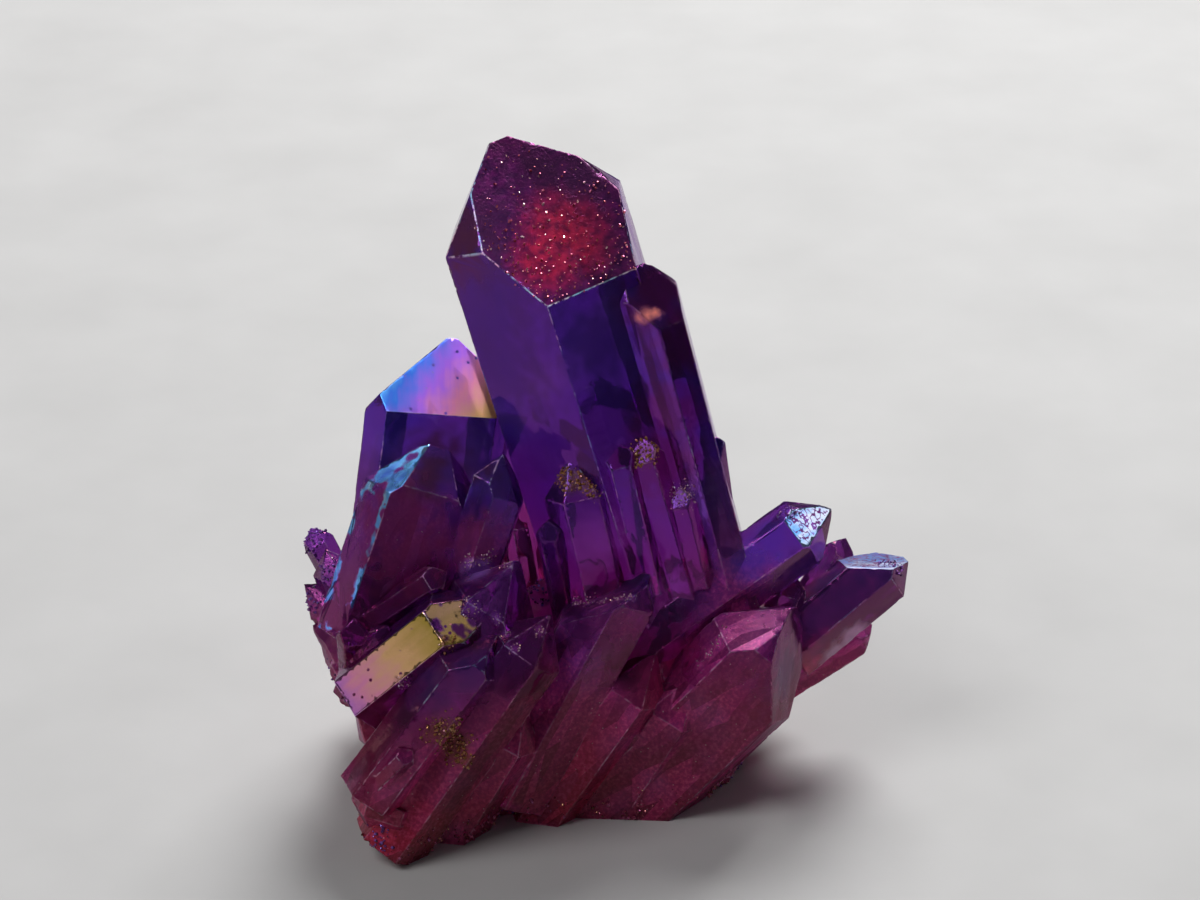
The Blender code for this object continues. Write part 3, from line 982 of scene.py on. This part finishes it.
def grow_druse(name, amounts, finish, **sizes):
    """A piece of small crystals, where amounts has above 0 for a point of the surface."""
    chosen = (amounts[faces].max(1) > LEAST_AMOUNT) & above_base
    used, where = np.unique(faces[chosen], return_inverse=True)
    bed = bpy.data.meshes.new(name)
    bed.from_pydata((moved[used] * MM).tolist(), [], where.reshape(-1, 3).tolist())
    set_values(bed, "amount", "POINT", amounts[used])
    grower = bpy.data.objects.new(name + "_bed", bed)
    scene.collection.objects.link(grower)
    modifier = grower.modifiers.new("druse", "NODES")
    modifier.node_group = druse
    modifier[druse_sockets["Finish"]] = finish
    for size, value in sizes.items():
        modifier[druse_sockets[size.replace("_", " ")]] = value
    graph = bpy.context.evaluated_depsgraph_get()
    made = bpy.data.meshes.new_from_object(grower.evaluated_get(graph))
    bpy.data.objects.remove(grower)
    corners = np.empty(len(made.vertices) * 3, np.float32)
    made.vertices.foreach_get("co", corners)
    corners = np.clip(corners.reshape(-1, 3), np.array(cad_low), np.array(cad_high))
    made.vertices.foreach_set("co", corners.reshape(-1))
    made.name = name
    made.calc_loop_triangles()
    print(name, "has", len(made.loop_triangles), "triangles")
    return new_piece(name, made)


# %% [markdown]
# ## Patterns for the finishes
# The finishes are patterns over patterns: noise, cells, and runs of colour. Each pattern gets a short
# call here. They read Object coordinates, or the growth map, in millimetres, so a pattern keeps its size
# and place on the stone.

# %% A short way to build materials
class Finish(Nodes):
    """A material, with short calls for its patterns."""

    def __init__(self, name):
        self.material = bpy.data.materials.new(name)
        self.material.use_nodes = True
        super().__init__(self.material.node_tree)
        self.shader = self.tree.nodes["Principled BSDF"]
        self.output = self.tree.nodes["Material Output"]
        self.place = self.vectors("SCALE", self.add("ShaderNodeTexCoord", "Object"), Scale=1 / MM)

    def vectors(self, operation, first, **inputs):
        """Arithmetic on vectors."""
        return self.add("ShaderNodeVectorMath", 0, {"operation": operation}, _0=first, **inputs)

    def mark(self, name):
        """One of the surface's own named values."""
        return self.add("ShaderNodeAttribute", "Fac", {"attribute_name": name})

    def grain(self, size, detail=2.0, vector=None):
        """Noise whose bumps are about this many millimetres across."""
        return self.add("ShaderNodeTexNoise", Vector=vector or self.place, Scale=1 / size, Detail=detail)

    def cells(self, output, scale, vector=None):
        """Cells, this many to a millimetre: the Distance to a cell's middle, or its own Color."""
        return self.add("ShaderNodeTexVoronoi", output, Vector=vector or self.place, Scale=scale)

    def stretched(self, vector, x, y):
        """A vector with its first two parts scaled, which draws a pattern out the other way."""
        return self.add("ShaderNodeMapping", Vector=vector, Scale=(x, y, 1.0))

    def toned(self, colour, value, hue=0.5):
        """A colour made darker or brighter, and turned to another hue where hue isn't a half."""
        return self.add("ShaderNodeHueSaturation", Hue=hue, Value=value, Color=colour)

    def blend(self, share, first, second):
        """A colour from first, at share 0, to second, at share 1."""
        return self.add("ShaderNodeMix", 2, {"data_type": "RGBA"}, _0=share, _6=first, _7=second)

    def ramp(self, value, *stops):
        """A colour for each value. A stop is a value with its colour."""
        colour = self.add("ShaderNodeValToRGB", Fac=value)
        elements = colour.socket.node.color_ramp.elements
        for position, _ in stops[2:]:
            elements.new(position)
        for element, (position, stop) in zip(elements, sorted(stops)):
            element.position, element.color = position, (*stop, 1.0)
        return colour

    def relief(self, height, depth, **under):
        """A bump that stands this many millimetres high."""
        return self.add("ShaderNodeBump", Height=height, Distance=depth * MM, **under)

    def settle(self, **values):
        """Fills the shader's own inputs."""
        for name, value in values.items():
            self.join(value, self.shader.inputs[name.replace("_", " ")])


# %% [markdown]
# ## Body colour
# Clear quartz has no colour of its own. Its violet comes from the coat, and from light that is absorbed on
# its way through. The cluster is wine red at the foot and indigo at the top, each crystal a little
# different, and pale veils hang in it where the quartz is cloudy. One flat colour would look like moulded
# glass, so a ramp over the height gives the colour, and noise shifts it to and fro.

# %% Body colour
BODY_COLOURS = (
    (0.0, (0.50, 0.022, 0.10)), (0.35, (0.42, 0.035, 0.22)), (0.62, (0.26, 0.045, 0.42)),
    (1.0, (0.13, 0.045, 0.50)),
)
FOOT, SHOULDERS = 4.0, 28.0  # mm above the floor, where the run of body colours begins and ends
HUES, FACE_VALUES = (0.475, 0.52), (0.75, 1.3)
# The pale violet of cloudy veils in the quartz, and of the painted glow.
CLOUD_AND_GLOW_VIOLET = (0.46, 0.22, 0.95)
VEIL_SHARE = 0.25


def body_colour(finish, mask, height):
    """The colour at each height, a little different in every crystal and face."""
    drift = (finish.grain(7.0, 1.0) - 0.5) * 14.0
    colour = finish.ramp((height + drift).ranged(FOOT, SHOULDERS), *BODY_COLOURS)
    hue, value = mask.crystal.ranged(0.0, 1.0, *HUES), mask.face_tone.ranged(0.0, 1.0, *FACE_VALUES)
    veil = finish.grain(4.5).ranged(0.50, 0.80) * VEIL_SHARE
    return finish.blend(veil, finish.toned(colour, value, hue), CLOUD_AND_GLOW_VIOLET)


# %% [markdown]
# ## Sugary grain
# Low on the cluster, and on a few frosted faces, the quartz isn't smooth but grown of grains too small to
# see one by one. They would be far too many to model. Fine noise gives the grain, cells of one tone each
# give the facets, and a few cells have a painted white glint in the middle.

# %% Sugary grain
SUGAR_COLOURS = (0.36, (0.06, 0.004, 0.02)), (0.52, (0.34, 0.020, 0.09)), (0.70, (0.66, 0.10, 0.26))
SUGAR_SHARE = 0.45
SUGAR_STARTS, SUGAR_FULL = 17.0, 10.0  # mm above the floor
FACET_TONES = 0.55, 1.6
PAINTED_GLINT_WHITE = (0.95, 0.85, 0.92)


def sugary_places(finish, mask, height):
    """Frosted faces, and everything low on the cluster."""
    uneven = height + finish.grain(3.0) * 8.0
    return (mask.frost + uneven.ranged(SUGAR_STARTS, SUGAR_FULL)).clamped()


def sugar_colour(finish, mask, colour, mosaic):
    """Fine grains in small facets that differ in tone, and a painted white glint in a few of them."""
    grains = finish.ramp(finish.grain(0.28), *SUGAR_COLOURS)
    colour = finish.blend(mask.sugary * SUGAR_SHARE, colour, grains)
    tone = finish.add("ShaderNodeSeparateColor", Color=mosaic).ranged(0.0, 1.0, *FACET_TONES)
    colour = finish.blend(mask.sugary, colour, finish.toned(colour, tone))
    painted_glints = finish.cells("Distance", 1.6).ranged(0.085, 0.06)
    return finish.blend(painted_glints * (mask.sugary * 0.35 + 0.25), colour, PAINTED_GLINT_WHITE)


# %% [markdown]
# ## The red cap and the rusty beds
# The large cap glows red inside a dark rim. Light comes up to it through the crystal, and the coat on it
# is rough and dark. It is too rough to see into, so that light is painted as a speckled red, and a dark
# patch of painted shade lies over part of it. Its small crystals are grown on it later. The ground of the
# rusty beds is one flat brown.

# %% The red cap
RIM_COLOURS = (0.35, (0.012, 0.002, 0.018)), (0.7, (0.09, 0.005, 0.07))
PAINTED_GLOW_COLOURS = (0.35, (0.10, 0.002, 0.008)), (0.7, (0.42, 0.012, 0.03))
# The dark of the painted shade over the red cap.
CAP_PAINTED_SHADE = (0.015, 0.004, 0.012)
RUST = (0.16, 0.06, 0.02)


def red_cap_colour(finish, mask):
    """A painted red light inside a dark rim, with painted shade over part of it."""
    speckle = finish.grain(0.6, 3.0)
    rim, painted_glow_red = finish.ramp(speckle, *RIM_COLOURS), finish.ramp(speckle, *PAINTED_GLOW_COLOURS)
    return finish.blend(mask.dusk * 0.9, finish.blend(mask.ember, rim, painted_glow_red), CAP_PAINTED_SHADE)


# %% [markdown]
# ## Mirror film
# Where the metal film is thick, its colour goes from gold through pink and violet to blue as it gets
# thicker, as on a drop of oil. The shader's own thin film is too faint to show that on its own, so these
# faces are metallic, and a ramp holds the run of colours. The film has pits, gaps and winding scratches,
# and on one face only a strip along the edge is left.

# %% Mirror film
FILM_COLOURS = (
    (0.0, (0.52, 0.37, 0.05)), (0.20, (0.92, 0.55, 0.24)), (0.40, (0.95, 0.34, 0.55)),
    (0.60, (0.48, 0.18, 0.92)), (0.80, (0.06, 0.24, 0.95)), (0.92, (0.16, 0.55, 0.98)),
    (1.0, (0.75, 0.90, 1.0)),
)


def coated_places(finish, mask):
    """The mirror film, less its pits, gaps, open middles and winding lines."""
    pits = finish.cells("Distance", 1.3).ranged(0.20, 0.12) * finish.grain(1.1).ranged(0.48, 0.56)
    gaps = mask.patchy * finish.grain(1.8).ranged(0.50, 0.56)
    open_middles = mask.strip * (mask.edge + finish.grain(1.0)).ranged(0.95, 1.15)
    winding = abs(finish.grain(0.5, 1.0) - 0.5).ranged(0.06, 0.02)
    scratches = winding * mask.edge.ranged(0.15, 0.35) * mask.wormed
    coated = mask.mirror
    for loss in (pits, gaps, open_middles, scratches):
        coated = (coated - loss * mask.mirror).clamped()
    return coated


def film_colour(finish, mask, growth):
    """The run of film colours, with soft streaks across it."""
    drift = (finish.grain(1.3, 1.0) - 0.5) * 0.16
    streaks = (finish.grain(0.5, 2.0, finish.stretched(growth, 1.0, 0.1)) - 0.5) * 0.14
    return finish.ramp(mask.film + (drift + streaks), *FILM_COLOURS)


# %% [markdown]
# ## Worn edges and painted edge highlights
# Outward edges have lost their coat in short beads, and fresh edges show pale blue and pink. The same
# beads are also painted highlights: there are more of them on the edges listed as lit, and low on the
# cluster. The mesh already says how far each point is from the nearest edge, so a narrow band of that
# value, broken up by noise, draws them.

# %% Worn edges and painted edge highlights
# Colours of bare edges, which also serve as painted edge highlights.
WEAR_AND_HIGHLIGHT_COLOURS = (0.4, (0.35, 0.75, 0.95)), (0.5, (0.85, 0.82, 0.95)), (0.6, (0.95, 0.50, 0.70))
SUGARY_WEAR_AND_HIGHLIGHT = (0.75, 0.40, 0.62)
BAND_OUTER, BAND_INNER = 0.10, 0.01  # mm from the edge, where the band begins and is full


def worn_places(finish, mask):
    """Short beads along outward edges, here and there, partly wear and partly painted highlight."""
    beads = finish.grain(0.45).ranged(0.40, 0.60)
    somewhere = finish.grain(5.0).ranged(0.42, 0.58) * 0.6 + (mask.lit_edge + mask.sugary * 0.35)
    return mask.edge.ranged(BAND_OUTER, BAND_INNER) * (beads * somewhere).clamped()


def worn_colour(finish, mask):
    return finish.blend(mask.sugary * 0.8, finish.ramp(finish.grain(2.5), *WEAR_AND_HIGHLIGHT_COLOURS), SUGARY_WEAR_AND_HIGHLIGHT)


# %% [markdown]
# ## Fine relief
# Quartz has lines across its sides and faint ridges along them, a hundredth of a millimetre deep. The net
# is too coarse for those, so they are bumps, which change how light is turned but not the outline. Each
# cell of the mosaic is tilted a little as well, so it mirrors another part of the room than its neighbour.

# %% Fine relief
ROUGH_DEPTH, LINE_DEPTH, RIDGE_DEPTH = 0.035, 0.006, 0.008  # mm
CLEAN_TILT, SUGARY_TILT = 0.07, 0.20


def coat_normal(finish, mask, growth, mosaic):
    """The way each place faces: grain, lines, ridges, and tilted cells."""
    rough_places = (mask.red_bed + mask.beds + (mask.is_broken + mask.sugary * 0.6)).clamped()
    lines = finish.grain(0.6, 1.0, finish.stretched(growth, 0.10, 1.0))
    ridges = finish.grain(1.4, 1.0, finish.stretched(growth, 1.0, 0.06))
    normal = finish.relief(finish.grain(0.22) * rough_places, ROUGH_DEPTH)
    normal = finish.relief(lines, LINE_DEPTH, Normal=normal)
    normal = finish.relief(ridges, RIDGE_DEPTH, Normal=normal)
    tilt = mask.sugary.ranged(0.0, 1.0, CLEAN_TILT, SUGARY_TILT)
    tilted = finish.vectors("SCALE", finish.vectors("SUBTRACT", mosaic, _1=(0.5, 0.5, 0.5)), Scale=tilt)
    return finish.vectors("NORMALIZE", finish.vectors("ADD", normal, _1=tilted))


# %% [markdown]
# ## The coated quartz
# Quartz bends light (its index of refraction is 1.544) and lets most of it through, so the finish is glass
# with violet absorption inside. The coat over it is a thin film, which Blender's Principled shader has
# built in: its thickness in nanometres sets the colour of the gloss. Over the body colour lie sugar,
# tints, the red cap, rust, film and wear, in the order in which they cover each other on the stone.
# Some of the tints, the red cap's light, the sugar's white glints and the bright worn edges are painted light
# and shade.

# %% What covers what
# Each tint with its share. A later one lies over those before it. The violet glow, the coral glint and the
# two shades are painted light and shade, not colours of the coat.
TINT_COLOURS = (
    ("claret", 0.8, (0.22, 0.018, 0.07)), ("glow", 0.8, CLOUD_AND_GLOW_VIOLET), ("blue", 0.8, (0.07, 0.05, 0.62)),
    ("night", 0.85, (0.020, 0.014, 0.12)), ("pale", 0.8, (0.80, 0.62, 0.90)),
    ("coral", 0.9, (1.0, 0.30, 0.22)), ("dusk", 0.9, (0.055, 0.014, 0.022)),
)
SMOOTH, ROUGHEST, CLEAR = 0.05, 0.6, 0.88
# What each of these places adds to the roughness, and to the share of the light that gets through.
ROUGHER = {
    "sugary": 0.22, "beds": 0.2, "red_bed": 0.22, "is_broken": 0.2, "worn": 0.2, "satin": 0.38, "frost": 0.14,
}
CLEARER = {
    "dusk": -0.4, "red_bed": -0.7, "beds": -0.4, "worn": -0.6, "sugary": -0.36, "is_broken": -0.1,
    "coral": -0.8, "night": -0.4,
}
MARKS = (
    "edge", "crystal", "face_tone", "is_broken", "mirror", "film", "red_bed", "golden_bed", "pale_bed",
    "violet_bed", *KINDS_OF_FILM, *TINTS,
)
print("the finish reads", len(MARKS), "sets of values")

# %% The quartz finish
QUARTZ_IOR, FILM_IOR = 1.544, 1.8
FILM_FROM, FILM_TO = 8.0, 26.0  # mm above the floor, where the thin film is at its lowest and highest
FILM_LOW, FILM_HIGH = 256.0, 296.0  # nm
FILM_IN_PATCHES, FILM_BY_FACE = 24.0, 12.0  # nm more, from place to place and from face to face
UNEVEN_GLOSS = 0.08
GLOSS_TINT = (0.50, 0.26, 0.62)
LET_THROUGH = (0.58, 0.05, 0.62)
ABSORBED_PER_METRE = 160.0


def with_shares(value, mask, shares):
    """A value with a share of each of these masks added."""
    for name, share in shares.items():
        value += getattr(mask, name) * share
    return value


def quartz_finish():
    """The clear, coated body of every crystal. A mask is 1 where its look is wanted, and 0 elsewhere."""
    finish = Finish("aura_quartz")
    growth = finish.add("ShaderNodeUVMap", 0, {"uv_map": "growth"})
    height = finish.add("ShaderNodeSeparateXYZ", "Z", Vector=finish.place)
    mosaic = finish.cells("Color", 1.0, finish.stretched(growth, 0.9, 0.22))
    mask = SimpleNamespace(**{name: finish.mark(name) for name in MARKS})
    mask.beds = mask.golden_bed + mask.pale_bed + mask.violet_bed
    mask.sugary = sugary_places(finish, mask, height)
    mask.coated = coated_places(finish, mask)
    mask.worn = worn_places(finish, mask)

    colour = sugar_colour(finish, mask, body_colour(finish, mask, height), mosaic)
    for name, share, tint in TINT_COLOURS:
        colour = finish.blend(getattr(mask, name) * share, colour, tint)
    colour = finish.blend(mask.red_bed, colour, red_cap_colour(finish, mask))
    colour = finish.blend(mask.golden_bed * 0.8, colour, RUST)
    colour = finish.blend(mask.coated, colour, film_colour(finish, mask, growth))
    colour = finish.blend(mask.worn * 0.85, colour, worn_colour(finish, mask))

    rough = with_shares(finish.grain(1.7, 1.0) * UNEVEN_GLOSS + SMOOTH, mask, ROUGHER)
    clear = with_shares(CLEAR, mask, CLEARER)
    thickness = height.ranged(FILM_FROM, FILM_TO, FILM_LOW, FILM_HIGH)
    thickness += finish.grain(4.0) * FILM_IN_PATCHES + mask.face_tone * FILM_BY_FACE
    finish.settle(
        Base_Color=colour, Metallic=mask.coated * 0.9, Roughness=finish.math("MINIMUM", rough, ROUGHEST),
        Transmission_Weight=clear.clamped(), IOR=QUARTZ_IOR,
        Normal=coat_normal(finish, mask, growth, mosaic), Specular_Tint=GLOSS_TINT,
        Thin_Film_IOR=FILM_IOR, Thin_Film_Thickness=thickness,
    )
    depth = finish.add("ShaderNodeVolumeAbsorption", Color=LET_THROUGH, Density=ABSORBED_PER_METRE)
    finish.join(depth, finish.output.inputs["Volume"])
    return finish.material


surface.materials.append(quartz_finish())
print("the quartz finish has", len(surface.materials[0].node_tree.nodes), "nodes")

# %% [markdown]
# ## The finishes of the druse
# The small crystals have the same coat, but they are so small and so many that nobody sees into them. So
# they are opaque under the film, which renders much faster than glass would. Each has a tone and a film
# of its own, by the random number that Blender gives to every loose part of a mesh.

# %% The druse finishes
DRUSE_NM = 230.0, 330.0  # the thinnest and the thickest film on a crystal
DRUSE_FILM_IOR = 1.9
DRUSE_ROUGHNESS = 0.08, 0.3


def druse_finish(name, dark, bright, metal):
    """Opaque under its coat, each small crystal a little different."""
    finish = Finish(name)
    own = finish.add("ShaderNodeNewGeometry", "Random Per Island")
    finish.settle(
        Base_Color=finish.ramp(own * 0.6 + finish.grain(1.5, 3.0) * 0.4, (0.2, dark), (0.85, bright)),
        Roughness=own.ranged(0.0, 1.0, *DRUSE_ROUGHNESS), Metallic=metal, IOR=QUARTZ_IOR,
        Thin_Film_IOR=DRUSE_FILM_IOR, Thin_Film_Thickness=own.ranged(0.0, 1.0, *DRUSE_NM),
    )
    return finish.material


# %% [markdown]
# ## Six kinds of druse
# On the red cap grow red crystals, thickest low on the cap, with a few larger bright ones among them.
# Golden druse grows in the rusty beds, pale druse along ridges, violet druse at the ends of arms and on
# broken rock, and wine-coloured druse at the foot. The first table line of each says where, the rest how.

# %% Grow the druses
heights = points[:, 2]
red_points = np.zeros(len(points))
red_points[red_bed.points] = 1.0
low_on_cap = np.clip((47.0 - heights) / 6.0, 0.15, 1.2)
lower_on_cap = np.clip((45.5 - heights) / 5.0, 0.45, 1.0)
off_rim = np.clip(to_edge / 0.3, 0.3, 1)
off_base = np.array([0.0 if any(flats[flat].is_base for flat in around) else 1.0 for around in touching])
rocky = np.zeros(len(points))
for flat in flats:
    if flat.kind == "broken":
        rocky[flat.points] = 1.0
rocky *= off_base * np.clip(np.array([noise_at(point, 3.0, 8) for point in points]) * 3 + 0.35, 0, 1)
# Each has a name, where it grows, its dark and bright colours and how metallic it is. Then come how many
# there are to a square millimetre, the smallest and the largest in mm, how far they tilt, and a seed.
DRUSES = (
    ("red_druse", red_points * low_on_cap * off_rim,
     (0.30, 0.01, 0.06), (0.95, 0.25, 0.38), 0.6, (5.0, 0.05, 0.22, 0.9, 3)),
    ("sparkles", red_points * lower_on_cap + 0.05 * BEDS["golden_bed"],
     (0.95, 0.30, 0.42), (1.0, 0.85, 0.88), 0.9, (1.6, 0.07, 0.20, 1.2, 8)),
    ("golden_druse", BEDS["golden_bed"],
     (0.12, 0.03, 0.02), (0.62, 0.30, 0.10), 0.35, (26.0, 0.07, 0.26, 0.7, 4)),
    ("pale_druse", BEDS["pale_bed"],
     (0.22, 0.05, 0.16), (0.85, 0.55, 0.66), 0.15, (34.0, 0.05, 0.16, 0.8, 5)),
    ("violet_druse", np.maximum(BEDS["violet_bed"], 0.35 * rocky),
     (0.06, 0.012, 0.12), (0.30, 0.12, 0.55), 0.35, (14.0, 0.07, 0.26, 0.6, 6)),
    ("foot_druse", BEDS["foot_bed"] * off_base,
     (0.12, 0.008, 0.03), (0.50, 0.10, 0.20), 0.35, (9.0, 0.07, 0.34, 0.6, 7)),
)
for name, amounts, dark, bright, metal, (density, smallest, largest, tilt, seed) in DRUSES:
    grow_druse(
        name, amounts, druse_finish("aura_" + name, dark, bright, metal),
        Crystals_per_square_mm=density, Smallest=smallest, Largest=largest, Tilt=tilt, Seed=seed,
    )

# %% [markdown]
# ## Floor and light
# The floor is plain and pale. One large soft light stands behind and above the cluster, a weaker one on
# its left, and faint light comes from all round. Light from behind has to come through the crystals, and
# that makes them glow. A mirror shows only what it faces, so most coloured mirrors have one small weak
# light, in just the direction that they mirror to the camera. For the twin's cap the main crystal stands
# in that direction, so a narrow beam lights the cap instead, and light linking keeps it off the floor.

# %% Floor, world and lights
FLOOR_SIZE = 4.0
ROOM_COLOUR, ROOM_STRENGTH = (0.80, 0.82, 0.88), 0.08
# Each light stands this way, as azimuth and elevation in degrees, at a distance in millimetres.
KEY = dict(way=(165, 47), distance=600, size=0.35, watts=4.2)
FILL = dict(way=(-62, 55), distance=700, size=0.36, watts=1.7)
GLINT_DISTANCE, GLINT_SIZE = 500, 0.11
BEAM = dict(way=(-10, 60), distance=400, angle=1.15, blend=0.4, size=0.01, watts=26.0)
LIT = Vector((-4, 0, 25))  # the big lights point here


def make_floor():
    """A large square, a little mottled."""
    mesh = bpy.data.meshes.new("floor")
    half = FLOOR_SIZE / 2
    corners = [(-half, -half, 0), (half, -half, 0), (half, half, 0), (-half, half, 0)]
    mesh.from_pydata(corners, [], [(0, 1, 2, 3)])
    floor = bpy.data.objects.new("floor", mesh)
    scene.collection.objects.link(floor)
    paint = Finish("pale_floor")
    tone = paint.ramp(paint.grain(14.0, 4.0), (0.3, (0.49, 0.485, 0.48)), (0.7, (0.53, 0.525, 0.52)))
    paint.settle(Base_Color=tone, Roughness=0.7)
    mesh.materials.append(paint.material)


def soft_light(name, place, target, size, watts):
    """A round light of this size in metres, at a place in millimetres."""
    data = bpy.data.lights.new(name, "AREA")
    data.shape, data.size, data.energy = "DISK", size, watts
    return look(bpy.data.objects.new(name, data), place, target)


def way_to(azimuth, elevation):
    """The direction to a light. Azimuth 0 is where the camera stands and 90 is on its right."""
    a, e = math.radians(azimuth), math.radians(elevation)
    return Vector((math.sin(a) * math.cos(e), -math.cos(a) * math.cos(e), math.sin(e)))


make_floor()
world = bpy.data.worlds.new("room")
world.use_nodes = True
background = world.node_tree.nodes["Background"]
background.inputs["Color"].default_value = (*ROOM_COLOUR, 1)
background.inputs["Strength"].default_value = ROOM_STRENGTH
scene.world = world
for name, plan in (("key", KEY), ("fill", FILL)):
    soft_light(name, LIT + way_to(*plan["way"]) * plan["distance"], LIT, plan["size"], plan["watts"])
for name, plan in MIRRORS.items():
    if plan["watts"]:
        middle = middles[plan["flat"].index]
        seen, normal = (camera_place - middle).normalized(), plan["flat"].normal
        mirrored = normal * 2 * normal.dot(seen) - seen
        soft_light(name + " glint", middle + mirrored * GLINT_DISTANCE, middle, GLINT_SIZE, plan["watts"])
beam = bpy.data.lights.new("beam", "SPOT")
beam.spot_size, beam.spot_blend = math.radians(BEAM["angle"]), BEAM["blend"]
beam.shadow_soft_size, beam.energy = BEAM["size"], BEAM["watts"]
twin_middle = middles[MIRRORS["twin cap"]["flat"].index]
beam_place = twin_middle + way_to(*BEAM["way"]) * BEAM["distance"]
beam_lamp = look(bpy.data.objects.new("beam", beam), beam_place, twin_middle)
lit_by_beam = bpy.data.collections.new("lit_by_beam")
lit_by_beam.objects.link(quartz)
beam_lamp.light_linking.receiver_collection = lit_by_beam
scene.view_settings.view_transform = "Standard"
